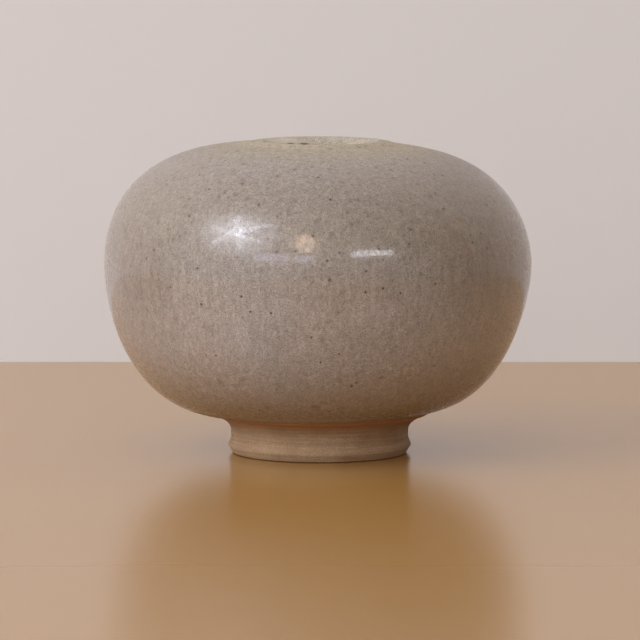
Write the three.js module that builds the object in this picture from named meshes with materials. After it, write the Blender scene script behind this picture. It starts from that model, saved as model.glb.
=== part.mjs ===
import * as THREE from 'three';

// Stoneware globe vase in millimetres, +Z up, with its origin on the table under the middle of the foot.
// Every piece is a turned form: it is drawn as the half section that the wheel sweeps round the axis.

// Globe, as the fired clay wall without its glaze
const BELLY_RADIUS = 84.8;
const BELLY_HEIGHT = 75.4;
const SHOULDER_HEIGHT = 123.1;
const WALL = 5.5;

// Fullness of the globe's curve, as shares of the height or width that each stretch spans
const BELLY_UPRIGHT = 0.2;
const SHOULDER_FULLNESS = 0.952;
const UNDERSIDE_FULLNESS = 0.83;
const UNDERSIDE_SLOPE = THREE.MathUtils.degToRad(8.3);

// Belly seam, where a ridge round the lower rim fits a groove in the upper rim
const SEAM_RIDGE = 1.8;

// Mouth and the low coil that makes its lip
const MOUTH_RADIUS = 20;
const LIP_WIDTH = 5;
const LIP_RISE = 1.3;

// Foot ring, turned with a ridge near the table, a waist above it and a flare under the bowl
const FOOT_HEIGHT = 17;
const FOOT_RADIUS = 36.7;
const FOOT_LAND = 5.5;
const INNER_BEVEL = 0.8;
const INNER_TAPER = 1.6;
const RIDGE_HEIGHT = 3.4;
const BEVEL_WIDTH = 1.9;
const WAIST_HEIGHT = 6.1;
const WAIST_DEPTH = 1.3;
const FLARE_START = 8.8;
const FLARE_WIDTH = 7.8;
const FLARE_DEPTH = 3.7;
const FLARE_EDGE = 1.2;

// Glaze coats, and the band of clay wiped bare between the outer coat and the foot
const GLAZE = 0.5;
const LINER = 0.4;
const WIPED_BAND = 1.2;

// Facets round the axis, and steps along each curve of a section
const FACETS = 48;
const GLOBE_STEPS = 8;
const LIP_STEPS = 6;
const FOOT_STEPS = 4;

// Sizes that follow from the ones above
const lipRadius = MOUTH_RADIUS + LIP_WIDTH;
const waistRadius = FOOT_RADIUS - WAIST_DEPTH;
const flareRadius = waistRadius + FLARE_WIDTH;
const baseRadius = flareRadius + WIPED_BAND;

const stoneware = new THREE.MeshStandardMaterial({ color: 0xb4926f, roughness: 0.85, metalness: 0 });
const greyGlaze = new THREE.MeshStandardMaterial({ color: 0xa5968a, roughness: 0.25, metalness: 0 });
const linerGlaze = new THREE.MeshStandardMaterial({ color: 0x9c8d80, roughness: 0.35, metalness: 0 });

const vase = new THREE.Group();

// A point of a half section, by its distance from the axis and its height above the table
function at(radius, height) {
  return new THREE.Vector2(radius, height);
}

// The outline moved sideways by an even distance, to the left of the way it runs
function offset(outline, distance) {
  const runs = outline.slice(1).map((point, i) => point.clone().sub(outline[i]).normalize());
  return outline.map((point, i) => {
    const before = runs[Math.max(i - 1, 0)];
    const after = runs[Math.min(i, runs.length - 1)];
    const sideways = at(-before.y - after.y, before.x + after.x);
    return point.clone().addScaledVector(sideways, distance / (1 + before.dot(after)));
  });
}

function closed(outline) {
  return [...outline, outline[0]];
}

// Revolves a half section, which runs anticlockwise with the axis on its left, into a named piece
function turn(name, section, material) {
  const geometry = new THREE.LatheGeometry(section, FACETS);
  geometry.rotateX(Math.PI / 2);
  const piece = new THREE.Mesh(geometry, material);
  piece.name = name;
  vase.add(piece);
}

// Outside of the clay from the edge of the flat base up to the belly
function undersideCurve() {
  const reach = UNDERSIDE_FULLNESS * (BELLY_RADIUS - baseRadius);
  const drop = BELLY_UPRIGHT * (BELLY_HEIGHT - FOOT_HEIGHT);
  return new THREE.CubicBezierCurve(
    at(baseRadius, FOOT_HEIGHT),
    at(baseRadius + reach * Math.cos(UNDERSIDE_SLOPE), FOOT_HEIGHT + reach * Math.sin(UNDERSIDE_SLOPE)),
    at(BELLY_RADIUS, BELLY_HEIGHT - drop),
    at(BELLY_RADIUS, BELLY_HEIGHT),
  ).getPoints(GLOBE_STEPS);
}

// Outside of the clay from the belly over the shoulder to the level top round the lip
function shoulderCurve() {
  const rise = BELLY_UPRIGHT * (SHOULDER_HEIGHT - BELLY_HEIGHT);
  const reach = SHOULDER_FULLNESS * (BELLY_RADIUS - lipRadius);
  return new THREE.CubicBezierCurve(
    at(BELLY_RADIUS, BELLY_HEIGHT),
    at(BELLY_RADIUS, BELLY_HEIGHT + rise),
    at(lipRadius + reach, SHOULDER_HEIGHT),
    at(lipRadius, SHOULDER_HEIGHT),
  ).getPoints(GLOBE_STEPS);
}

// Over the lip coil, from its outer edge on the shoulder to the edge of the mouth
function lipCurve() {
  const middle = MOUTH_RADIUS + LIP_WIDTH / 2;
  return new THREE.EllipseCurve(middle, SHOULDER_HEIGHT, LIP_WIDTH / 2, LIP_RISE, 0, Math.PI)
    .getPoints(LIP_STEPS);
}

const underside = undersideCurve();
const shoulder = shoulderCurve();
const lip = lipCurve();

// The whole clay wall from the middle of the base to the mouth, and the inside that follows it
const mouthEdge = at(MOUTH_RADIUS, SHOULDER_HEIGHT);
const wallOutside = [at(0, FOOT_HEIGHT), ...underside, ...shoulder.slice(1), mouthEdge];
const wallInside = offset(wallOutside, WALL);

// The belly point ends the bowl and starts the dome, and both halves share the ridge between them
const bellyIndex = underside.length;
const seamRidge = at(BELLY_RADIUS - WALL / 2, BELLY_HEIGHT + SEAM_RIDGE);

// Lower half of the globe, thrown with a flat base
const bowlOutside = wallOutside.slice(0, bellyIndex + 1);
const bowlInside = wallInside.slice(0, bellyIndex + 1).toReversed();
turn('lower_bowl', [...bowlOutside, seamRidge, ...bowlInside], stoneware);

// Upper half of the globe, open at the mouth
const domeOutside = wallOutside.slice(bellyIndex);
const domeInside = wallInside.slice(bellyIndex).toReversed();
turn('upper_dome', closed([...domeOutside, ...domeInside, seamRidge]), stoneware);

// Lip coil on the level top of the dome
turn('mouth_lip', closed(lip), stoneware);

// Foot ring under the flat base of the bowl
function footSection() {
  const landRadius = FOOT_RADIUS - BEVEL_WIDTH;
  const boreRadius = landRadius - FOOT_LAND - INNER_BEVEL;
  return new THREE.Path()
    .moveTo(boreRadius + INNER_BEVEL, 0)
    .lineTo(landRadius, 0)
    .lineTo(FOOT_RADIUS, RIDGE_HEIGHT)
    .lineTo(waistRadius, WAIST_HEIGHT)
    .lineTo(waistRadius, FLARE_START)
    .quadraticCurveTo(waistRadius, FOOT_HEIGHT - FLARE_DEPTH, flareRadius, FOOT_HEIGHT - FLARE_EDGE)
    .lineTo(flareRadius, FOOT_HEIGHT)
    .lineTo(boreRadius - INNER_TAPER, FOOT_HEIGHT)
    .lineTo(boreRadius, INNER_BEVEL)
    .closePath()
    .getPoints(FOOT_STEPS);
}

turn('foot_ring', footSection(), stoneware);

// Outer glaze, from the edge of the base up the globe, over the lip and down the wall of the mouth
const mouthBottom = wallInside.at(-1);
const glazedClay = [...underside, ...shoulder.slice(1), ...lip.slice(1), mouthBottom];
turn('outer_glaze', closed([...offset(glazedClay, -GLAZE), ...glazedClay.toReversed()]), greyGlaze);

// Liner glaze over the whole inside, up to the bottom of the mouth
turn('liner_glaze', [...wallInside, ...offset(wallInside, LINER).toReversed()], linerGlaze);

export default vase;
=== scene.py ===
import math

import bpy
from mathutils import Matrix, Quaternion, Vector
from mathutils.geometry import interpolate_bezier


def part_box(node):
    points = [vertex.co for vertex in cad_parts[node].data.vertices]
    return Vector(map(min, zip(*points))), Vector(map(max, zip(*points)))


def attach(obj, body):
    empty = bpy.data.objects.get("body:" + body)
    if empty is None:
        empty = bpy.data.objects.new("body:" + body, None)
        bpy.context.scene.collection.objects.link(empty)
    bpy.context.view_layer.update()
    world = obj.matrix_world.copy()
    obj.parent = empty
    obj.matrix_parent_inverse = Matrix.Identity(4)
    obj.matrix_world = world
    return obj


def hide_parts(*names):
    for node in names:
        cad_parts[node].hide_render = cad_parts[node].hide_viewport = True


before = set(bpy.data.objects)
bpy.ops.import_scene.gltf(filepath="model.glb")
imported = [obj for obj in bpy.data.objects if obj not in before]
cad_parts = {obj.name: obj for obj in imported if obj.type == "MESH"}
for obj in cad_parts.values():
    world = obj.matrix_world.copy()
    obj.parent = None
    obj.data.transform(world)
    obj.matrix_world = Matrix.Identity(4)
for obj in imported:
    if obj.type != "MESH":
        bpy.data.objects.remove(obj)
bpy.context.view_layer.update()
print("frame loaded:", len(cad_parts), "nodes")

mm = 0.001  # the dictionaries are in millimetres and degrees, Blender is in metres
noiseSpan = (0.3, 0.7)  # nearly all values of a noise pattern lie in it


def linear(code):  # an sRGB hex colour as the linear RGBA that a socket takes
    shares = [int(code[i:i + 2], 16) / 255 for i in (1, 3, 5)]
    return (*[s / 12.92 if s <= 0.04045 else ((s + 0.055) / 1.055) ** 2.4 for s in shares], 1.0)


# Adds one node: settings by keyword, inputs by position or in a dictionary by name.
# A node given as an input means its first output.
def add(tree, kind, *values, **settings):
    node = tree.nodes.new(kind)
    for name, value in settings.items():
        setattr(node, name, value)
    for place, value in enumerate(values):
        inputs = value if isinstance(value, dict) else {place: value}
        for socket, given in inputs.items():
            if isinstance(given, bpy.types.Node):
                given = given.outputs[0]
            if isinstance(given, bpy.types.NodeSocket):
                tree.links.new(given, node.inputs[socket])
            else:
                node.inputs[socket].default_value = given
    return node


def emptyMaterial(name):
    material = bpy.data.materials.new(name)
    material.use_nodes = True
    material.node_tree.nodes.clear()
    return material


# Camera, at the photograph's angle and framing
cameraView = {
    "distance": 2000,  # from the axis of the vase
    "aside": -0.09,
    "height": 261.6,
    "pitch": 5.953,  # below the horizon
    "lens": 283.0,
    "farthest": 100000,  # that it sees
}

cameraData = bpy.data.cameras.new("camera")
cameraData.lens = cameraView["lens"]
cameraData.clip_end = cameraView["farthest"] * mm
camera = bpy.data.objects.new("camera", cameraData)
place = Vector((cameraView["aside"], -cameraView["distance"], cameraView["height"]))
camera.location = place * mm
camera.rotation_euler = (math.radians(90 - cameraView["pitch"]), 0, 0)
bpy.context.scene.collection.objects.link(camera)
bpy.context.scene.camera = camera
bpy.context.scene.view_settings.view_transform = "Standard"
print("camera placed")


# Sizes of the pot that the frame already holds, in millimetres
domeLow, domeHigh = [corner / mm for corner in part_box("upper_dome")]
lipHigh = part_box("mouth_lip")[1] / mm
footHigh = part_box("foot_ring")[1] / mm
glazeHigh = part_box("outer_glaze")[1] / mm
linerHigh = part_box("liner_glaze")[1] / mm

globe = {
    "bellyRadius": domeHigh.x,
    "bellyHeight": domeLow.z,
    "shoulderHeight": domeHigh.z,
    "wall": domeHigh.x - linerHigh.x,
    "glaze": glazeHigh.x - domeHigh.x,
    "liner": 0.4,
    "wipedBand": 1.2,  # bare clay between the glaze line and the foot
    "bellyUpright": 0.2,  # shares of the height or width that each curve spans
    "shoulderFullness": 0.952,
    "undersideFullness": 0.83,
    "undersideSlope": 8.3,
    "mouthRadius": 20,
    "lipRadius": lipHigh.x,
    "lipCrest": 23.4,
    "lipHeight": lipHigh.z,
    "lipRounding": 2.7,  # how far the lip slopes down into the mouth
    "lipSoftness": 0.5,  # how round the lip is outside, and on its slope into the mouth
    "slopeSoftness": 0.25,
    "lipFillet": 8.0,  # how far out the coat fills the corner under the lip
    "mouthRounding": 2.2,  # of the inner edge under the mouth
    "glazeTaper": 4.0,  # how slowly the coat thickens from its edge above the foot
    "seamRidge": 1.8,
    "baseGap": 0.8,  # between the points of the flat base
    "curveSteps": 88,  # points along the curves of the section
    "lipOutsideSteps": 12,
    "lipInsideSteps": 16,
    "roundSteps": 8,
    "filletSteps": 20,
}

cornerPull = 2 / 3  # a cubic's handles for a quadratic's corner
quarterPull = 0.55  # and for about a quarter circle


def at(radius, height):
    return Vector((radius, height))


def straight(start, end, gap=0.5):
    steps = max(1, math.ceil((end - start).length / gap))
    return [start.lerp(end, step / steps) for step in range(steps + 1)]


# A corner between two points rounded off, as far as its reach along both sides
def eased(before, corner, after, reach, steps=8):
    start = corner + (before - corner).normalized() * reach
    end = corner + (after - corner).normalized() * reach
    return interpolate_bezier(
        start, start.lerp(corner, cornerPull), end.lerp(corner, cornerPull), end, steps)


def joined(*runs):  # one outline from runs that share their end points
    outline = list(runs[0])
    for run in runs[1:]:
        outline += run[1:]
    return outline


# The outline moved to its left by a distance, which may change along it
def shifted(outline, distance):
    distances = distance if isinstance(distance, list) else [distance] * len(outline)
    runs = [(end - start).normalized() for start, end in zip(outline, outline[1:])]
    moved = []
    for i, point in enumerate(outline):
        before, after = runs[max(i - 1, 0)], runs[min(i, len(runs) - 1)]
        left = at(-before.y - after.y, before.x + after.x)
        moved.append(point + left * (distances[i] / (1 + before.dot(after))))
    return moved


def lengthsAlong(outline):
    lengths = [0.0]
    for start, end in zip(outline, outline[1:]):
        lengths.append(lengths[-1] + (end - start).length)
    return lengths


# Geometry Nodes: a half section swept round the axis as the wheel sweeps it, then pushed out of true as a
# hand-thrown pot is: fuller on one side, a little wobble, rings from the fingers or the turning tool.
def buildThrownTree():
    tree = bpy.data.node_groups.new("thrownOnTheWheel", "GeometryNodeTree")
    tree.is_modifier = True
    tree.interface.new_socket("Section", in_out="INPUT", socket_type="NodeSocketGeometry")
    tree.interface.new_socket("Facets", in_out="INPUT", socket_type="NodeSocketInt")
    floats = ("Middle Height", "Crown", "True Radius", "Free Radius", "Swell", "Fullness", "Wobble Size",
              "Wobble Depth", "Ripple Size", "Ripple Depth", "Ring Pitch", "Ring Run", "Ring Depth", "Seed",
              "Sharp Angle")
    for name in floats:
        tree.interface.new_socket(name, in_out="INPUT", socket_type="NodeSocketFloat")
    tree.interface.new_socket("Finish", in_out="INPUT", socket_type="NodeSocketMaterial")
    tree.interface.new_socket("Pot", in_out="OUTPUT", socket_type="NodeSocketGeometry")
    given = add(tree, "NodeGroupInput").outputs

    # a grid with a row of vertices for each point of the section, a column for each facet and a closing one
    points = add(tree, "GeometryNodeAttributeDomainSize", given["Section"], component="MESH")
    columns = add(tree, "ShaderNodeMath", given["Facets"], 1.0, operation="ADD")
    grid = add(tree, "GeometryNodeMeshGrid",
               {"Vertices X": points.outputs["Point Count"], "Vertices Y": columns})
    index = add(tree, "GeometryNodeInputIndex")
    middleOfCell = add(tree, "ShaderNodeMath", index, 0.5, operation="ADD")
    share = add(tree, "ShaderNodeMath", middleOfCell, columns, operation="DIVIDE")
    row = add(tree, "ShaderNodeMath", share, operation="FLOOR")
    rowStart = add(tree, "ShaderNodeMath", row, columns, operation="MULTIPLY")
    column = add(tree, "ShaderNodeMath", index, rowStart, operation="SUBTRACT")
    turnShare = add(tree, "ShaderNodeMath", column, given["Facets"], operation="DIVIDE")
    angle = add(tree, "ShaderNodeMath", turnShare, -math.tau, operation="MULTIPLY")
    sectionPoint = add(tree, "GeometryNodeInputPosition")
    sample = add(tree, "GeometryNodeSampleIndex",
                 {"Geometry": given["Section"], "Value": sectionPoint, "Index": row},
                 data_type="FLOAT_VECTOR")
    section = add(tree, "ShaderNodeSeparateXYZ", sample)
    radius, height = section.outputs["X"], section.outputs["Z"]
    cosine = add(tree, "ShaderNodeMath", angle, operation="COSINE")
    x = add(tree, "ShaderNodeMath", radius, cosine, operation="MULTIPLY")
    sine = add(tree, "ShaderNodeMath", angle, operation="SINE")
    y = add(tree, "ShaderNodeMath", radius, sine, operation="MULTIPLY")
    turned = add(tree, "ShaderNodeCombineXYZ", x, y, height)

    # the way out of the pot: radial at the belly, and more and more upright above and below it
    aboveMiddle = add(tree, "ShaderNodeMath", height, given["Middle Height"], operation="SUBTRACT")
    upright = add(tree, "ShaderNodeMath", aboveMiddle, given["Crown"], operation="MULTIPLY")
    leaning = add(tree, "ShaderNodeCombineXYZ", x, y, upright)
    outward = add(tree, "ShaderNodeVectorMath", leaning, operation="NORMALIZE")
    parts = add(tree, "ShaderNodeSeparateXYZ", outward)
    rise = parts.outputs["Z"]
    riseSquared = add(tree, "ShaderNodeMath", rise, rise, operation="MULTIPLY")
    levelSquared = add(tree, "ShaderNodeMath", 1.0, riseSquared, operation="SUBTRACT")
    level = add(tree, "ShaderNodeMath", levelSquared, operation="SQRT")

    # fuller to one side, most of all between the belly and the top or the foot, and true round the mouth
    between = add(tree, "ShaderNodeMath", riseSquared, level, operation="MULTIPLY")
    swell = add(tree, "ShaderNodeMath", between, given["Fullness"], given["Swell"], operation="MULTIPLY_ADD")
    free = add(tree, "ShaderNodeMapRange", radius, given["True Radius"], given["Free Radius"],
               interpolation_type="SMOOTHSTEP")
    freeSwell = add(tree, "ShaderNodeMath", swell, free, operation="MULTIPLY")
    toOneSide = add(tree, "ShaderNodeMath", parts.outputs["X"], -1.0, operation="MULTIPLY")
    push = add(tree, "ShaderNodeMath", freeSwell, toOneSide, operation="MULTIPLY")

    # slow wobble and a finer ripple
    for size, depth in (("Wobble Size", "Wobble Depth"), ("Ripple Size", "Ripple Depth")):
        scale = add(tree, "ShaderNodeMath", 1.0, given[size], operation="DIVIDE")
        noise = add(tree, "ShaderNodeTexNoise",
                    {"Vector": turned, "W": given["Seed"], "Scale": scale, "Detail": 1.0},
                    noise_dimensions="4D")
        centred = add(tree, "ShaderNodeMath", noise, 0.5, operation="SUBTRACT")
        push = add(tree, "ShaderNodeMath", centred, given[depth], push, operation="MULTIPLY_ADD")

    # rings: noise that changes fast with the height or the radius and slowly round the pot
    runShare = add(tree, "ShaderNodeMath", given["Ring Pitch"], given["Ring Run"], operation="DIVIDE")
    ringScale = add(tree, "ShaderNodeMath", 1.0, given["Ring Pitch"], operation="DIVIDE")
    aroundX = add(tree, "ShaderNodeMath", x, runShare, operation="MULTIPLY")
    aroundY = add(tree, "ShaderNodeMath", y, runShare, operation="MULTIPLY")
    for across in (height, radius):
        place = add(tree, "ShaderNodeCombineXYZ", aroundX, aroundY, across)
        noise = add(tree, "ShaderNodeTexNoise",
                    {"Vector": place, "W": given["Seed"], "Scale": ringScale, "Detail": 2.0},
                    noise_dimensions="4D")
        centred = add(tree, "ShaderNodeMath", noise, 0.5, operation="SUBTRACT")
        push = add(tree, "ShaderNodeMath", centred, given["Ring Depth"], push, operation="MULTIPLY_ADD")

    offset = add(tree, "ShaderNodeVectorMath", {0: outward, "Scale": push}, operation="SCALE")
    pot = add(tree, "GeometryNodeSetPosition", {"Geometry": grid, "Position": turned, "Offset": offset})
    weld = 0.002 * mm  # closes the seam of the sweep and its poles
    pot = add(tree, "GeometryNodeMergeByDistance", {"Geometry": pot, "Distance": weld})
    pot = add(tree, "GeometryNodeSetShadeSmooth", {"Geometry": pot, "Shade Smooth": True})
    bend = add(tree, "GeometryNodeInputMeshEdgeAngle")
    sharp = add(tree, "FunctionNodeCompare", bend, given["Sharp Angle"], operation="GREATER_THAN")
    pot = add(tree, "GeometryNodeSetShadeSmooth",
              {"Geometry": pot, "Selection": sharp, "Shade Smooth": False}, domain="EDGE")
    pot = add(tree, "GeometryNodeRealizeInstances", pot)
    pot = add(tree, "GeometryNodeSetMaterial", {"Geometry": pot, "Material": given["Finish"]})
    add(tree, "NodeGroupOutput", pot)
    return tree


thrownTree = buildThrownTree()

# How far the globe is out of true. The foot was turned later and is truer.
globeThrow = {
    "Facets": 192,
    "Middle Height": globe["bellyHeight"] * mm,
    "Crown": 2.0,
    "True Radius": globe["mouthRadius"] * mm,
    "Free Radius": 44.4 * mm,
    "Swell": 1.0 * mm,
    "Fullness": 2.6 * mm,
    "Wobble Size": 60 * mm,
    "Wobble Depth": 0.35 * mm,
    "Ripple Size": 12 * mm,
    "Ripple Depth": 0.025 * mm,
    "Ring Pitch": 9 * mm,
    "Ring Run": 70 * mm,
    "Ring Depth": 0.04 * mm,
    "Seed": 3.0,
    "Sharp Angle": math.radians(40),
}


# Makes one finished piece: the section in millimetres, turned by the tree and left as a plain mesh
def throwPiece(name, section, finish, throw):
    mesh = bpy.data.meshes.new(name)
    corners = [(point.x * mm, 0, point.y * mm) for point in section]
    mesh.from_pydata(corners, [(i, i + 1) for i in range(len(corners) - 1)], [])
    piece = bpy.data.objects.new(name, mesh)
    bpy.context.scene.collection.objects.link(piece)
    modifier = piece.modifiers.new("thrown", "NODES")
    modifier.node_group = thrownTree
    values = {**throw, "Finish": finish}
    for socket in thrownTree.interface.items_tree:
        if socket.in_out == "INPUT" and socket.name in values:
            modifier[socket.identifier] = values[socket.name]
    depsgraph = bpy.context.evaluated_depsgraph_get()
    piece.data = bpy.data.meshes.new_from_object(piece.evaluated_get(depsgraph), depsgraph=depsgraph)
    piece.data.name = name
    piece.modifiers.clear()
    bpy.data.meshes.remove(mesh)
    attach(piece, "root")
    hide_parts(name)
    print("made", name, len(piece.data.polygons), "faces")


# Feldspathic stoneware glaze, dipped and fired in reduction: semi-gloss with a fine orange peel. The eye
# gets a sandy warm grey, salt and pepper close up, with iron specks, soft brown blooms and cool drifts.
def stonewareGlaze(name, look):
    material = emptyMaterial(name)
    tree = material.node_tree
    spot = add(tree, "ShaderNodeTexCoord").outputs["Object"]
    height = add(tree, "ShaderNodeSeparateXYZ", spot).outputs["Z"]

    # slow drift between a cool and a warm grey
    drift = add(tree, "ShaderNodeTexNoise",
                {"Vector": spot, "Scale": 1 / (look["driftSize"] * mm), "Detail": 3.0})
    driftShare = add(tree, "ShaderNodeMapRange", drift, *look["driftSpan"])
    colour = add(tree, "ShaderNodeMix",
                 {0: driftShare, 6: linear(look["cool"]), 7: linear(look["warm"])},
                 data_type="RGBA").outputs[2]

    # a thicker, greyer coat over the shoulder, with an uneven lower edge, and less of it on the level top:
    # painted light, as the top faces up
    edge = add(tree, "ShaderNodeMath", drift, look["thickRagged"] * mm, height, operation="MULTIPLY_ADD")
    high = add(tree, "ShaderNodeMapRange", edge, look["thickBottom"] * mm, look["thickTop"] * mm,
               0.0, look["thickShare"], interpolation_type="SMOOTHSTEP")
    litTopFade = add(tree, "ShaderNodeMapRange", height, look["fadeBottom"] * mm, look["fadeTop"] * mm,
               1.0, look["fadeShare"], interpolation_type="SMOOTHSTEP")
    thick = add(tree, "ShaderNodeMath", high, litTopFade, operation="MULTIPLY")
    colour = add(tree, "ShaderNodeMix", {0: thick, 6: colour, 7: linear(look["thick"])},
                 data_type="RGBA").outputs[2]

    # paler over the top towards the lip: partly the coat breaking where it thins, partly painted light on
    # the top, which faces up
    plan = add(tree, "ShaderNodeVectorMath", spot, (1, 1, 0), operation="MULTIPLY")
    radius = add(tree, "ShaderNodeVectorMath", plan, operation="LENGTH").outputs["Value"]
    rim = add(tree, "ShaderNodeMapRange", radius, look["breakOutside"] * mm, look["breakInside"] * mm,
              0.0, look["breakShare"], interpolation_type="SMOOTHSTEP")
    rimOnTop = add(tree, "ShaderNodeMath", height, look["breakHeight"] * mm, operation="GREATER_THAN")
    rim = add(tree, "ShaderNodeMath", rim, rimOnTop, operation="MULTIPLY")
    colour = add(tree, "ShaderNodeMix", {0: rim, 6: colour, 7: linear(look["breakAndTopLight"])},
                 data_type="RGBA").outputs[2]

    # and it is greyer and dry on the roll into the mouth, with painted light there, where the mouth falls in
    # shade
    dry = add(tree, "ShaderNodeMapRange", radius, look["dryOutside"] * mm, look["dryInside"] * mm)
    dryAndLitShare = add(tree, "ShaderNodeMath", dry, look["dryAndLitShare"], operation="MULTIPLY")
    colour = add(tree, "ShaderNodeMix", {0: dryAndLitShare, 6: colour, 7: linear(look["lip"])},
                 data_type="RGBA").outputs[2]

    # thin glaze near the foot lets the warm clay through, and its very edge is painted paler: a painted
    # highlight along the low edge of the coat
    low = add(tree, "ShaderNodeMapRange", height, look["thinTop"] * mm, look["thinBottom"] * mm,
              interpolation_type="SMOOTHSTEP")
    lowShare = add(tree, "ShaderNodeMath", low, look["thinShare"], operation="MULTIPLY")
    colour = add(tree, "ShaderNodeMix", {0: lowShare, 6: colour, 7: linear(look["thin"])},
                 data_type="RGBA").outputs[2]
    thinEdge = add(tree, "ShaderNodeMapRange", height, look["edgeTop"] * mm, look["edgeBottom"] * mm)
    edgeHighlightShare = add(tree, "ShaderNodeMath", thinEdge, look["edgeHighlightShare"], operation="MULTIPLY")
    colour = add(tree, "ShaderNodeMix", {0: edgeHighlightShare, 6: colour, 7: linear(look["edge"])},
                 data_type="RGBA").outputs[2]

    # vertical streaks where the coat ran while wet
    squeeze = look["streakWidth"] / look["streakLength"]
    stretched = add(tree, "ShaderNodeMapping", {"Vector": spot, "Scale": (1, 1, squeeze)})
    streaks = add(tree, "ShaderNodeTexNoise",
                  {"Vector": stretched, "Scale": 1 / (look["streakWidth"] * mm), "Detail": 2.0})
    streakLight = add(tree, "ShaderNodeMapRange", streaks, *noiseSpan,
                      1 - look["streakDepth"], 1 + look["streakDepth"])

    # salt and pepper: opaque and clear grains in the fired coat, drawn a little coarser than the real ones
    grains = add(tree, "ShaderNodeTexNoise",
                 {"Vector": spot, "Scale": 1 / (look["grainSize"] * mm), "Detail": 2.0, "Roughness": 0.7})
    grainLight = add(tree, "ShaderNodeMapRange", grains, *noiseSpan,
                     1 - look["grainDepth"], 1 + look["grainDepth"])
    clouds = add(tree, "ShaderNodeTexNoise",
                 {"Vector": spot, "Scale": 1 / (look["cloudSize"] * mm), "Detail": 2.0})
    cloudLight = add(tree, "ShaderNodeMapRange", clouds, *noiseSpan,
                     1 - look["cloudDepth"], 1 + look["cloudDepth"])
    light = add(tree, "ShaderNodeMath", streakLight, grainLight, operation="MULTIPLY")
    light = add(tree, "ShaderNodeMath", light, cloudLight, operation="MULTIPLY")
    colour = add(tree, "ShaderNodeVectorMath", {0: colour, "Scale": light}, operation="SCALE").outputs[0]

    # spots: soft brown blooms, faint smudges, mottles of the thick coat, weak specks and strong iron
    # specks, each kind in a share of the cells of its own cell pattern
    pits = 0.0
    for kind in look["spots"]:
        cells = add(tree, "ShaderNodeTexVoronoi", {"Vector": spot, "Scale": 1 / (kind["spacing"] * mm)})
        chance = add(tree, "ShaderNodeSeparateColor", cells.outputs["Color"])
        chosen = add(tree, "ShaderNodeMath", chance.outputs["Red"], kind["share"], operation="LESS_THAN")
        sizeShare = add(tree, "ShaderNodeMapRange", chance.outputs["Green"], 0.0, 1.0, kind["least"], 1.0)
        widest = kind["radius"] / kind["spacing"]
        reach = add(tree, "ShaderNodeMath", sizeShare, widest, operation="MULTIPLY")
        near = add(tree, "ShaderNodeMath", cells.outputs["Distance"], reach, operation="DIVIDE")
        mask = add(tree, "ShaderNodeMapRange", near, 1.0, kind["core"], 0.0, kind["strength"],
                   interpolation_type="SMOOTHSTEP")
        mask = add(tree, "ShaderNodeMath", mask, chosen, operation="MULTIPLY")
        if kind["inThickCoat"]:
            mask = add(tree, "ShaderNodeMath", mask, high, operation="MULTIPLY")
        colour = add(tree, "ShaderNodeMix", {0: mask, 6: colour, 7: linear(kind["colour"])},
                     data_type="RGBA").outputs[2]
        if kind["pitted"]:
            pits = add(tree, "ShaderNodeMath", pits, mask, operation="MAXIMUM")

    # marks: paler and darker places, each with its own spot on the pot; some are the coat's own, some are
    # painted light and painted shade
    for kind in look["marks"]:
        nearest = None
        reach = [value * mm for value in kind["reach"]]
        for centre in kind["centres"]:
            middle = [value * mm for value in centre]
            away = add(tree, "ShaderNodeVectorMath", spot, middle, operation="SUBTRACT")
            scaled = add(tree, "ShaderNodeVectorMath", away, reach, operation="DIVIDE")
            distance = add(tree, "ShaderNodeVectorMath", scaled, operation="LENGTH").outputs["Value"]
            if nearest is None:
                nearest = distance
            else:
                nearest = add(tree, "ShaderNodeMath", nearest, distance, operation="MINIMUM")
        uneven = add(tree, "ShaderNodeMath", clouds, kind["uneven"], nearest, operation="MULTIPLY_ADD")
        mask = add(tree, "ShaderNodeMapRange", uneven, 1.0, kind["core"], 0.0, kind["strength"])
        if kind.get("onLip"):
            mask = add(tree, "ShaderNodeMath", mask, dry, operation="MULTIPLY")
        colour = add(tree, "ShaderNodeMix", {0: mask, 6: colour, 7: linear(kind["colour"])},
                     data_type="RGBA").outputs[2]

    # orange peel, the finer grain on it and a pit at each strong speck
    peel = add(tree, "ShaderNodeTexNoise",
               {"Vector": spot, "Scale": 1 / (look["peelSize"] * mm), "Detail": 1.0})
    peelHeight = add(tree, "ShaderNodeMath", peel, look["peelDepth"] * mm, operation="MULTIPLY")
    relief = add(tree, "ShaderNodeMath", grains, look["grainRelief"] * mm, peelHeight,
                 operation="MULTIPLY_ADD")
    relief = add(tree, "ShaderNodeMath", pits, -look["pitDepth"] * mm, relief, operation="MULTIPLY_ADD")
    bump = add(tree, "ShaderNodeBump", {"Height": relief, "Strength": 1.0, "Distance": 1.0})
    peelBump = add(tree, "ShaderNodeBump", {"Height": peelHeight, "Strength": 1.0, "Distance": 1.0})

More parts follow.
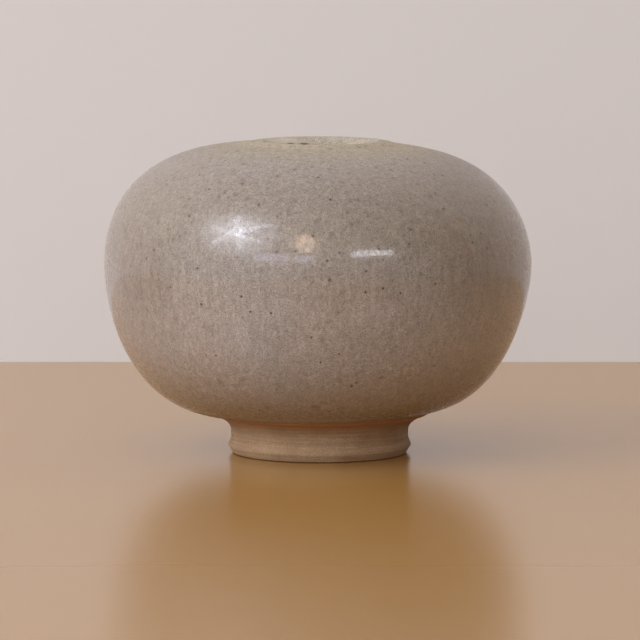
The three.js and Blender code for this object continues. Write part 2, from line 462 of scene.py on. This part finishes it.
    # matt crystals under a thin glassy skin blur a reflection, and the coat is dull in the mouth, on the
    # level top and along its low edge
    crystals = add(tree, "ShaderNodeTexNoise",
                   {"Vector": spot, "Scale": 1 / (look["crystalSize"] * mm),
                    "Detail": 3.0, "Roughness": 0.7})
    gloss = add(tree, "ShaderNodeMapRange", crystals, *look["crystalSpan"], *look["roughness"])
    dull = add(tree, "ShaderNodeMath", dry, thinEdge, operation="MAXIMUM")
    dullTop = add(tree, "ShaderNodeMapRange", radius, look["dullOutside"] * mm, look["dullInside"] * mm,
                  0.0, look["dullShare"], interpolation_type="SMOOTHSTEP")
    dullTop = add(tree, "ShaderNodeMath", dullTop, rimOnTop, operation="MULTIPLY")
    dull = add(tree, "ShaderNodeMath", dull, dullTop, operation="MAXIMUM")
    gloss = add(tree, "ShaderNodeMix", {0: dull, 2: gloss, 3: look["dryRoughness"]}, data_type="FLOAT")
    skin = add(tree, "ShaderNodeMapRange", dull, 0.0, 1.0, look["coat"], 0.0)
    shader = add(tree, "ShaderNodeBsdfPrincipled",
                 {"Base Color": colour, "Roughness": gloss, "IOR": look["ior"], "Normal": bump,
                  "Coat Weight": skin, "Coat Roughness": look["coatRoughness"], "Coat Normal": peelBump})
    add(tree, "ShaderNodeOutputMaterial", shader)
    return material


outerLook = {
    "cool": "#9B9596",
    "warm": "#A29896",
    "thick": "#8F847B",
    # the paler top colour is partly painted light
    "breakAndTopLight": "#B6AA92",
    "thin": "#8E7A64",
    # the lip colour is partly painted light in the mouth
    "lip": "#ACA29A",
    # the edge colour is a painted highlight
    "edge": "#AE977C",
    "driftSize": 42,
    "driftSpan": (0.36, 0.64),
    "thickBottom": 72,
    "thickTop": 104,
    "thickRagged": 24,
    "thickShare": 0.85,
    # the fade of the grey coat on the top is painted light
    "fadeBottom": 108,
    "fadeTop": 122,
    "fadeShare": 0.5,
    "breakOutside": 66,
    "breakInside": 22,
    "breakHeight": 80,
    "breakShare": 0.7,
    "dryOutside": 24,
    "dryInside": 21.5,
    "dryAndLitShare": 0.75,
    "dryRoughness": 0.8,
    "dullOutside": 84,
    "dullInside": 32,
    "dullShare": 0.9,
    "thinTop": 52,
    "thinBottom": 17,
    "thinShare": 0.62,
    "edgeTop": 20,
    "edgeBottom": 17.5,
    "edgeHighlightShare": 0.6,
    "streakWidth": 1.6,
    "streakLength": 22,
    "streakDepth": 0.11,
    "grainSize": 0.5,
    "grainDepth": 0.42,
    "cloudSize": 2.2,
    "cloudDepth": 0.1,
    "crystalSize": 1.2,
    "crystalSpan": (0.42, 0.6),
    "peelSize": 2.4,
    "peelDepth": 0.008,
    "grainRelief": 0.006,
    "pitDepth": 0.03,
    "roughness": (0.12, 0.4),
    "ior": 1.55,
    "coat": 0.42,
    "coatRoughness": 0.05,
    "spots": [
        {"spacing": 9, "radius": 2.2, "least": 0.4, "core": 0.0, "share": 0.55, "strength": 0.5,
         "colour": "#7E6852", "pitted": False, "inThickCoat": False},
        {"spacing": 4.6, "radius": 1.5, "least": 0.5, "core": 0.0, "share": 0.5, "strength": 0.34,
         "colour": "#6E6355", "pitted": False, "inThickCoat": False},
        {"spacing": 3.4, "radius": 1.8, "least": 0.4, "core": 0.1, "share": 0.6, "strength": 0.64,
         "colour": "#6B5C4C", "pitted": False, "inThickCoat": True},
        {"spacing": 1.9, "radius": 0.5, "least": 0.5, "core": 0.2, "share": 0.5, "strength": 0.62,
         "colour": "#5F4E3F", "pitted": False, "inThickCoat": False},
        {"spacing": 3.4, "radius": 0.58, "least": 0.5, "core": 0.5, "share": 0.23, "strength": 0.9,
         "colour": "#3B3027", "pitted": True, "inThickCoat": False},
    ],
    "marks": [
        # painted light: a pale patch inside the lip where the mouth falls in shade; and painted shade: two
        # dark marks below it, the shade of the mouth seen just over the near rim
        {"reach": (16, 16, 6), "core": 0.3, "uneven": 0, "strength": 0.85, "colour": "#D6CDC4",
         "onLip": True, "centres": [(-17.5, 12.8, 123.6)]},
        {"reach": (3, 2.5, 0.9), "core": 0.5, "uneven": 0, "strength": 0.85, "colour": "#4A3D31",
         "centres": [(-12.5, 16.2, 122.2), (-6.8, 18.9, 122)]},
        # brown blooms on the shoulder and belly
        {"reach": (2.4, 2.4, 2.8), "core": 0.2, "uneven": 0.4, "strength": 0.5, "colour": "#7C6248",
         "centres": [(-38.8, -56.4, 112.5), (-27.8, -80.7, 80.9), (-65.2, -56.2, 77), (39.2, -70.9, 94.1),
                     (54.3, -57.4, 97.6)]},
        # wide brown darkening on both sides of the belly: painted shade on the right side, away from the key
        # light, and a darker brown patch on the left
        {"reach": (30, 30, 30), "core": 0, "uneven": 0.2, "strength": 0.34, "colour": "#6F5B48",
         "centres": [(65, -54, 76), (-70, -52, 70)]},
        # redder ones above the foot
        {"reach": (2.6, 2.6, 2), "core": 0.2, "uneven": 0.4, "strength": 0.5, "colour": "#6A4632",
         "centres": [(-29.9, -68.3, 37.1), (23.2, -70.4, 38), (7.6, -73.5, 37.1), (-38.7, -62.9, 35.6),
                     (-20.7, -61.1, 25.3), (-30.5, -55.3, 24), (-2.8, -64.7, 25.9)]},
        # the largest iron specks of the front
        {"reach": (0.75, 0.75, 0.75), "core": 0.5, "uneven": 0.2, "strength": 0.85, "colour": "#352C25",
         "centres": [(-43.1, -57.4, 109.9), (-0.7, -63.3, 115), (2.8, -84.4, 84.6), (17.5, -83.1, 80.5),
                     (24, -81.6, 73.7), (17.3, -83.2, 72.4), (44.4, -72.3, 74.6), (62.4, -52.2, 92.3),
                     (65.1, -38.8, 102.3), (59, -57.6, 89.3), (-26.8, -80.2, 64.6), (-30.3, -79.8, 70.4),
                     (-45.9, -71.7, 66.6), (12.1, -71.2, 34.7), (22.5, -80.1, 88.8), (-18.9, -82.2, 64.3)]},
    ],
}

linerLook = {
    **outerLook,
    "cool": "#958B84",
    "warm": "#9A8D80",
    "thickShare": 0.0,
    "breakShare": 0.0,
    "streakDepth": 0.03,
    "roughness": (0.26, 0.4),
    "coat": 0.2,
    "dryAndLitShare": 0.0,
    "dryRoughness": 0.4,
    "dullShare": 0.0,
    "marks": [],
}


# Bare buff stoneware, turned on the wheel and fired: matt and a little gritty, with fine lines from the
# tool, dark and pale grit, and an orange band below the glaze: partly a flash where the flame met the
# clay, partly painted warm bounce light under the globe.
def bareStoneware(name, look):
    material = emptyMaterial(name)
    tree = material.node_tree
    spot = add(tree, "ShaderNodeTexCoord").outputs["Object"]
    height = add(tree, "ShaderNodeSeparateXYZ", spot).outputs["Z"]

    # slow stains between two tones of the clay
    stains = add(tree, "ShaderNodeTexNoise",
                 {"Vector": spot, "Scale": 1 / (look["stainSize"] * mm), "Detail": 3.0})
    stainShare = add(tree, "ShaderNodeMapRange", stains, *look["stainSpan"])
    colour = add(tree, "ShaderNodeMix",
                 {0: stainShare, 6: linear(look["buff"]), 7: linear(look["sand"])},
                 data_type="RGBA").outputs[2]

    # turning lines and grit: the lines are noise that changes fast with the height and slowly round the foot
    squeeze = look["linePitch"] / look["lineRun"]
    squeezed = add(tree, "ShaderNodeMapping", {"Vector": spot, "Scale": (squeeze, squeeze, 1)})
    lines = add(tree, "ShaderNodeTexNoise",
                {"Vector": squeezed, "Scale": 1 / (look["linePitch"] * mm), "Detail": 3.0, "Roughness": 0.6})
    lineLight = add(tree, "ShaderNodeMapRange", lines, *noiseSpan,
                    1 - look["lineDepth"], 1 + look["lineDepth"])
    grit = add(tree, "ShaderNodeTexNoise",
               {"Vector": spot, "Scale": 1 / (look["gritSize"] * mm), "Detail": 2.0})
    gritLight = add(tree, "ShaderNodeMapRange", grit, *noiseSpan,
                    1 - look["gritDepth"], 1 + look["gritDepth"])
    light = add(tree, "ShaderNodeMath", lineLight, gritLight, operation="MULTIPLY")
    colour = add(tree, "ShaderNodeVectorMath", {0: colour, "Scale": light}, operation="SCALE").outputs[0]

    # the flash with painted warm bounce light, broken up along its lower edge
    flashEdge = add(tree, "ShaderNodeMath", stains, look["flashRagged"] * mm, height,
                    operation="MULTIPLY_ADD")
    flashAndBounce = add(tree, "ShaderNodeMapRange", flashEdge, look["flashBottom"] * mm, look["flashTop"] * mm,
                0.0, look["flashShare"], interpolation_type="SMOOTHSTEP")
    colour = add(tree, "ShaderNodeMix", {0: flashAndBounce, 6: colour, 7: linear(look["flashAndBounce"])},
                 data_type="RGBA").outputs[2]

    # a dark speck in each cell of a cell pattern
    cells = add(tree, "ShaderNodeTexVoronoi", {"Vector": spot, "Scale": 1 / (look["speckSpacing"] * mm)})
    specks = add(tree, "ShaderNodeMapRange", cells.outputs["Distance"],
                 look["speckRadius"] / look["speckSpacing"], 0.0, 0.0, look["speckShare"])
    colour = add(tree, "ShaderNodeMix", {0: specks, 6: colour, 7: linear(look["speck"])},
                 data_type="RGBA").outputs[2]

    # the relief of the lines and the grit
    lineRelief = add(tree, "ShaderNodeMath", lines, look["lineRelief"] * mm, operation="MULTIPLY")
    relief = add(tree, "ShaderNodeMath", grit, look["gritRelief"] * mm, lineRelief, operation="MULTIPLY_ADD")
    bump = add(tree, "ShaderNodeBump", {"Height": relief, "Strength": 1.0, "Distance": 1.0})
    dullness = add(tree, "ShaderNodeMapRange", grit, *noiseSpan, *look["roughness"])
    shader = add(tree, "ShaderNodeBsdfPrincipled",
                 {"Base Color": colour, "Roughness": dullness, "IOR": look["ior"], "Normal": bump})
    add(tree, "ShaderNodeOutputMaterial", shader)
    return material


clayLook = {
    "buff": "#A3876C",
    "sand": "#AE9478",
    # the flash colour is partly painted warm bounce light
    "flashAndBounce": "#AF7138",
    "speck": "#5C4630",
    "stainSize": 9,
    "stainSpan": (0.35, 0.65),
    "linePitch": 0.9,
    "lineRun": 40,
    "lineDepth": 0.2,
    "gritSize": 0.6,
    "gritDepth": 0.2,
    "flashBottom": 13.8,
    "flashTop": 18.8,
    "flashRagged": 4,
    "flashShare": 0.66,
    "speckSpacing": 3.2,
    "speckRadius": 0.3,
    "speckShare": 0.7,
    "lineRelief": 0.05,
    "gritRelief": 0.04,
    "roughness": (0.72, 0.88),
    "ior": 1.5,
}

outerGlazeFinish = stonewareGlaze("reductionFiredStonewareGlaze", outerLook)
linerGlazeFinish = stonewareGlaze("stonewareLinerGlaze", linerLook)
clayFinish = bareStoneware("turnedBuffStoneware", clayLook)
print("finishes made")

# The clay of the globe, outside from the edge of its flat base to the mouth
footHeight = footHigh.z
baseRadius = footHigh.x + globe["wipedBand"]
belly = at(globe["bellyRadius"], globe["bellyHeight"])
baseEdge = at(baseRadius, footHeight)
shoulderEnd = at(globe["lipRadius"], globe["shoulderHeight"])
slope = math.radians(globe["undersideSlope"])
undersideReach = globe["undersideFullness"] * (belly.x - baseRadius)
shoulderReach = globe["shoulderFullness"] * (belly.x - shoulderEnd.x)
underside = interpolate_bezier(
    baseEdge,
    baseEdge + undersideReach * at(math.cos(slope), math.sin(slope)),
    belly - at(0, globe["bellyUpright"] * (belly.y - footHeight)),
    belly, globe["curveSteps"])
shoulder = interpolate_bezier(
    belly,
    belly + at(0, globe["bellyUpright"] * (shoulderEnd.y - belly.y)),
    shoulderEnd + at(shoulderReach, 0),
    shoulderEnd, globe["curveSteps"])
crest = at(globe["lipCrest"], globe["lipHeight"])
mouthTop = at(globe["mouthRadius"], globe["lipHeight"] - globe["lipRounding"])
lipOutside = interpolate_bezier(
    shoulderEnd,
    shoulderEnd.lerp(at(crest.x, shoulderEnd.y), globe["lipSoftness"]),
    crest.lerp(at(shoulderEnd.x, crest.y), globe["lipSoftness"]),
    crest, globe["lipOutsideSteps"])
lipInside = interpolate_bezier(
    crest,
    crest.lerp(at(mouthTop.x, crest.y), globe["slopeSoftness"]),
    mouthTop.lerp(at(mouthTop.x, crest.y), globe["slopeSoftness"]),
    mouthTop, globe["lipInsideSteps"])

# Its inside, a wall's thickness in, with a rounded edge under the mouth
rounding = globe["mouthRounding"]
innerTop = globe["shoulderHeight"] - globe["wall"]
mouthBottom = at(mouthTop.x, innerTop + rounding)
mouthWall = straight(mouthTop, mouthBottom)
roundStart = at(mouthTop.x + rounding, innerTop)
innerRound = interpolate_bezier(
    mouthBottom,
    mouthBottom.lerp(at(mouthTop.x, innerTop), quarterPull),
    roundStart.lerp(at(mouthTop.x, innerTop), quarterPull),
    roundStart, globe["roundSteps"])
wallOutside = joined(straight(at(0, footHeight), baseEdge, globe["baseGap"]), underside, shoulder)
wallInside = shifted(wallOutside, globe["wall"])
bellyPlace = len(wallOutside) - len(shoulder)
domeInside = [point for point in wallInside[bellyPlace:] if point.x > roundStart.x]
bowlInside = wallInside[:bellyPlace + 1]
ridge = at(belly.x - globe["wall"] / 2, belly.y + globe["seamRidge"])

# Lower half of the globe
bowlSection = [*wallOutside[:bellyPlace + 1], ridge, *reversed(bowlInside)]
throwPiece("lower_bowl", bowlSection, clayFinish, globeThrow)

# The roll of the lip into the mouth, cut where the coil sits on the dome
cut = next(i for i, point in enumerate(lipInside) if point.y < shoulderEnd.y)
above, below = lipInside[cut - 1], lipInside[cut]
lipSeam = above.lerp(below, (above.y - shoulderEnd.y) / (above.y - below.y))
rollOnDome = [lipSeam, *lipInside[cut:]]

# Upper half, open at the mouth
domeTop = straight(shoulderEnd, lipSeam)
domeOutside = joined(wallOutside[bellyPlace:], domeTop, rollOnDome, mouthWall, innerRound)
domeSection = [*domeOutside, *reversed(domeInside), ridge, domeOutside[0]]
throwPiece("upper_dome", domeSection, clayFinish, globeThrow)

# Lip coil on the level top
lipSection = [*joined(lipOutside, lipInside[:cut]), lipSeam, shoulderEnd]
throwPiece("mouth_lip", lipSection, clayFinish, globeThrow)

# Outer glaze coat, thinned towards its edge above the foot, and filling the corner under the lip
glazedClay = joined(underside, shoulder, lipOutside, lipInside, mouthWall)
thickness = [-globe["glaze"] * (1 - math.exp(-along / globe["glazeTaper"]))
             for along in lengthsAlong(glazedClay)]
coat = shifted(glazedClay, thickness)
crestPlace = len(joined(underside, shoulder, lipOutside)) - 1
filletPlace = max(i for i in range(crestPlace) if coat[i].x > shoulderEnd.x + globe["lipFillet"])
filletStart, filletEnd = coat[filletPlace], coat[crestPlace]
filletPull = globe["lipSoftness"] * (filletStart.x - filletEnd.x)
alongShoulder = (filletStart - coat[filletPlace - 1]).normalized()
fillet = interpolate_bezier(
    filletStart,
    filletStart + alongShoulder * filletPull,
    filletEnd + at(filletPull, 0),
    filletEnd, globe["filletSteps"])
coatOutside = joined(coat[:filletPlace + 1], fillet, coat[crestPlace:])
coatSection = [*coatOutside, *reversed(glazedClay)]
throwPiece("outer_glaze", coatSection, outerGlazeFinish, globeThrow)

# Liner glaze, from the middle of the floor up to the mouth
linerClay = [*wallInside[:bellyPlace], *domeInside, *reversed(innerRound)]
linerSection = [*linerClay, *reversed(shifted(linerClay, globe["liner"]))]
linerThrow = {**globeThrow, "Ring Pitch": 8 * mm, "Ring Depth": 0.3 * mm}
throwPiece("liner_glaze", linerSection, linerGlazeFinish, linerThrow)

# Foot ring, turned with a ridge near the table, a waist above it and a flare under the bowl
foot = {
    "ridgeRadius": 36.7,
    "ridgeHeight": 3.4,
    "ridgeRounding": 0.7,
    "land": 5.5,
    "bevelWidth": 1.9,
    "edgeLift": 0.35,  # the worn outer edge clears the table
    "edgeReach": 2.4,
    "edgeCorner": 0.8,  # in from the bevel, where the worn edge had its corner
    "waistHeight": 6.1,
    "waistDepth": 1.3,
    "waistRounding": 1.0,
    "flareStart": 8.8,
    "flareDepth": 3.7,
    "flareEdge": 1.2,
    "tuck": 0.8,  # how far the top sits in the bowl, so that no slit shows
    "innerBevel": 0.8,
    "innerTaper": 1.6,
    "outsideGap": 0.25,  # between the points of the straight runs
    "topGap": 1.0,
    "boreGap": 0.4,
    "innerBevelGap": 0.3,
    "wornSteps": 8,  # points along the curves
    "flareSteps": 48,
}

footThrow = {
    **globeThrow,
    "Crown": 0.0,
    "True Radius": 0.0,
    "Free Radius": 1 * mm,
    "Swell": 0.25 * mm,
    "Fullness": 0.0,
    "Wobble Size": 40 * mm,
    "Wobble Depth": 0.3 * mm,
    "Ripple Size": 3 * mm,
    "Ripple Depth": 0.03 * mm,
    "Ring Pitch": 1.1 * mm,
    "Ring Run": 50 * mm,
    "Ring Depth": 0.11 * mm,
}

waist = foot["ridgeRadius"] - foot["waistDepth"]
landEdge = foot["ridgeRadius"] - foot["bevelWidth"]
bore = landEdge - foot["land"] - foot["innerBevel"]
landInside = at(bore + foot["innerBevel"], 0)
landOutside = at(landEdge - foot["edgeReach"], 0)
edgeCorner = at(landEdge - foot["edgeCorner"], 0)
bevelStart = at(landEdge, foot["edgeLift"])
ridgeCrest = at(foot["ridgeRadius"], foot["ridgeHeight"])
waistLow = at(waist, foot["waistHeight"])
waistHigh = at(waist, foot["flareStart"])
flarePull = at(waist, footHeight - foot["flareDepth"])
flareTop = at(footHigh.x, footHeight - foot["flareEdge"])
tuckOutside = at(footHigh.x, footHeight + foot["tuck"])
tuckInside = at(bore - foot["innerTaper"], footHeight + foot["tuck"])
boreBottom = at(bore, foot["innerBevel"])
wornEdge = interpolate_bezier(
    landOutside,
    landOutside.lerp(edgeCorner, cornerPull),
    bevelStart.lerp(edgeCorner, cornerPull),
    bevelStart, foot["wornSteps"])
ridgeRound = eased(bevelStart, ridgeCrest, waistLow, foot["ridgeRounding"])
waistRound = eased(ridgeCrest, waistLow, waistHigh, foot["waistRounding"])
flare = interpolate_bezier(
    waistHigh,
    waistHigh.lerp(flarePull, cornerPull),
    flareTop.lerp(flarePull, cornerPull),
    flareTop, foot["flareSteps"])
footSection = joined(
    straight(landInside, landOutside),
    wornEdge,
    straight(bevelStart, ridgeRound[0], foot["outsideGap"]),
    ridgeRound,
    straight(ridgeRound[-1], waistRound[0], foot["outsideGap"]),
    waistRound,
    straight(waistRound[-1], waistHigh, foot["outsideGap"]),
    flare,
    straight(flareTop, tuckOutside, foot["outsideGap"]),
    straight(tuckOutside, tuckInside, foot["topGap"]),
    straight(tuckInside, boreBottom, foot["boreGap"]),
    straight(boreBottom, landInside, foot["innerBevelGap"]))
throwPiece("foot_ring", footSection, clayFinish, footThrow)


# Stage: a plain satin floor and a plain wall behind it, which shows from the front only
stageLook = {
    "floor": "#B1864B",
    "floorRoughness": 0.22,
    "floorCoat": 0.28,
    "wall": "#DEDEE6",
    "wallBehind": 321,  # behind the axis of the vase
    "reach": 6000,
}


def plainSheet(name, corners, finish):
    mesh = bpy.data.meshes.new(name)
    mesh.from_pydata([tuple(value * mm for value in corner) for corner in corners], [], [(0, 1, 2, 3)])
    mesh.materials.append(finish)
    sheet = bpy.data.objects.new(name, mesh)
    bpy.context.scene.collection.objects.link(sheet)


floorFinish = bpy.data.materials.new("satinFloor")
floorFinish.use_nodes = True
floorShader = floorFinish.node_tree.nodes["Principled BSDF"]
floorShader.inputs["Base Color"].default_value = linear(stageLook["floor"])
floorShader.inputs["Roughness"].default_value = stageLook["floorRoughness"]
floorShader.inputs["Coat Weight"].default_value = stageLook["floorCoat"]
floorShader.inputs["Coat Roughness"].default_value = stageLook["floorRoughness"]

wallFinish = emptyMaterial("paintedWall")
wallTree = wallFinish.node_tree
wallPaint = add(wallTree, "ShaderNodeBsdfDiffuse", linear(stageLook["wall"]))
wallBack = add(wallTree, "ShaderNodeNewGeometry").outputs["Backfacing"]
seeThrough = add(wallTree, "ShaderNodeBsdfTransparent")
wallShader = add(wallTree, "ShaderNodeMixShader", wallBack, wallPaint, seeThrough)
add(wallTree, "ShaderNodeOutputMaterial", wallShader)

reach = stageLook["reach"]
behind = stageLook["wallBehind"]
floorCorners = [(-reach, -reach, 0), (reach, -reach, 0), (reach, reach, 0), (-reach, reach, 0)]
wallCorners = [(-reach, behind, 0), (reach, behind, 0), (reach, behind, reach), (-reach, behind, reach)]
plainSheet("floor", floorCorners, floorFinish)
plainSheet("wall", wallCorners, wallFinish)

# Studio light: a soft key on the left, a weaker light in front, and a room that dims towards the right.
# Of the lights the glaze mirrors only the cards: a hazy window with rays, three strips and a warm one.
softLight = {"roll": 0, "shape": "RECTANGLE", "mirrored": False}
card = {"distance": 1700, "roll": 0, "shape": "ELLIPSE", "mirrored": True}
windowCard = {**card, "colour": "#E9EEFF"}
stripCard = {**card, "shape": "RECTANGLE"}
softboxes = {
    "softKey": {**softLight, "azimuth": -58, "elevation": 26, "distance": 2200, "size": (1800, 1800),
                "power": 22.5, "colour": "#FFFDF8"},
    "softFront": {**softLight, "azimuth": -8, "elevation": 25, "distance": 2400, "size": (1600, 1200),
                  "power": 6.6, "colour": "#FFFDF6"},
    "windowHaze": {**windowCard, "azimuth": -48.3, "elevation": 34.6, "size": (1290, 1160), "power": 5.8},
    "windowTop": {**windowCard, "azimuth": -49.3, "elevation": 42, "size": (560, 330), "power": 0.9},
    "windowRayA": {**windowCard, "azimuth": -48.1, "elevation": 36, "size": (1060, 150), "power": 2.0,
                   "roll": 46},
    "windowRayB": {**windowCard, "azimuth": -49, "elevation": 35.6, "size": (1010, 150), "power": 1.9,
                   "roll": -66},
    "windowRayC": {**windowCard, "azimuth": -49.4, "elevation": 33.5, "size": (1000, 130), "power": 1.8,
                   "roll": -13},
    "stripRight": {**stripCard, "azimuth": 30.0, "elevation": 21.3, "size": (680, 140), "power": 2.3,
                   "colour": "#F2F4FF"},
    "stripLeft": {**stripCard, "azimuth": -25, "elevation": 16.6, "size": (560, 150), "power": 1.0,
                  "colour": "#DADDFF"},
    "stripMiddle": {**stripCard, "azimuth": -6.8, "elevation": 16.6, "size": (270, 150), "power": 0.5,
                    "colour": "#DADDFF"},
    "warmCard": {**card, "azimuth": -6.8, "elevation": 30.5, "size": (280, 540), "power": 2.1,
                 "colour": "#FFDCC0"},
}
room = {
    "left": "#FEFFFD",
    "right": "#856E4F",
    "strength": 1.3,
    "backdropLeft": "#DCDCE2",  # what the camera and a reflection see of it
    "backdropRight": "#7A6F66",
}

aim = Vector((0, 0, globe["bellyHeight"] * mm))
for name, box in softboxes.items():
    lamp = bpy.data.lights.new(name, "AREA")
    lamp.shape = box["shape"]
    lamp.size, lamp.size_y = [side * mm for side in box["size"]]
    lamp.energy = box["power"]
    lamp.color = linear(box["colour"])[:3]
    softbox = bpy.data.objects.new(name, lamp)
    azimuth, elevation = math.radians(box["azimuth"]), math.radians(box["elevation"])
    away = Vector((math.sin(azimuth) * math.cos(elevation), -math.cos(azimuth) * math.cos(elevation),
                   math.sin(elevation)))
    softbox.location = aim + away * box["distance"] * mm
    roll = Quaternion((0, 0, 1), math.radians(box["roll"]))
    softbox.rotation_euler = (away.to_track_quat("Z", "Y") @ roll).to_euler()
    softbox.visible_camera = False
    softbox.visible_glossy = box["mirrored"]
    softbox.visible_diffuse = not box["mirrored"]
    bpy.context.scene.collection.objects.link(softbox)

world = bpy.data.worlds.new("room")
bpy.context.scene.world = world
world.use_nodes = True
worldTree = world.node_tree
worldTree.nodes.clear()
ray = add(worldTree, "ShaderNodeLightPath").outputs
seen = add(worldTree, "ShaderNodeMath", ray["Is Camera Ray"], ray["Is Glossy Ray"], operation="MAXIMUM")
seen = add(worldTree, "ShaderNodeMath", seen, ray["Is Transmission Ray"], operation="MAXIMUM")
direction = add(worldTree, "ShaderNodeTexCoord").outputs["Generated"]
across = add(worldTree, "ShaderNodeSeparateXYZ", direction)
side = add(worldTree, "ShaderNodeMapRange", across, -1.0, 1.0)
walls = add(worldTree, "ShaderNodeMix",
            {0: side, 6: linear(room["left"]), 7: linear(room["right"])},
            data_type="RGBA").outputs[2]
ambient = add(worldTree, "ShaderNodeBackground", walls, room["strength"])
seenWalls = add(worldTree, "ShaderNodeMix",
                {0: side, 6: linear(room["backdropLeft"]), 7: linear(room["backdropRight"])},
                data_type="RGBA").outputs[2]
backdrop = add(worldTree, "ShaderNodeBackground", seenWalls, 1.0)
roomLight = add(worldTree, "ShaderNodeMixShader", seen, ambient, backdrop)
add(worldTree, "ShaderNodeOutputWorld", roomLight)
print("stage and lights set")
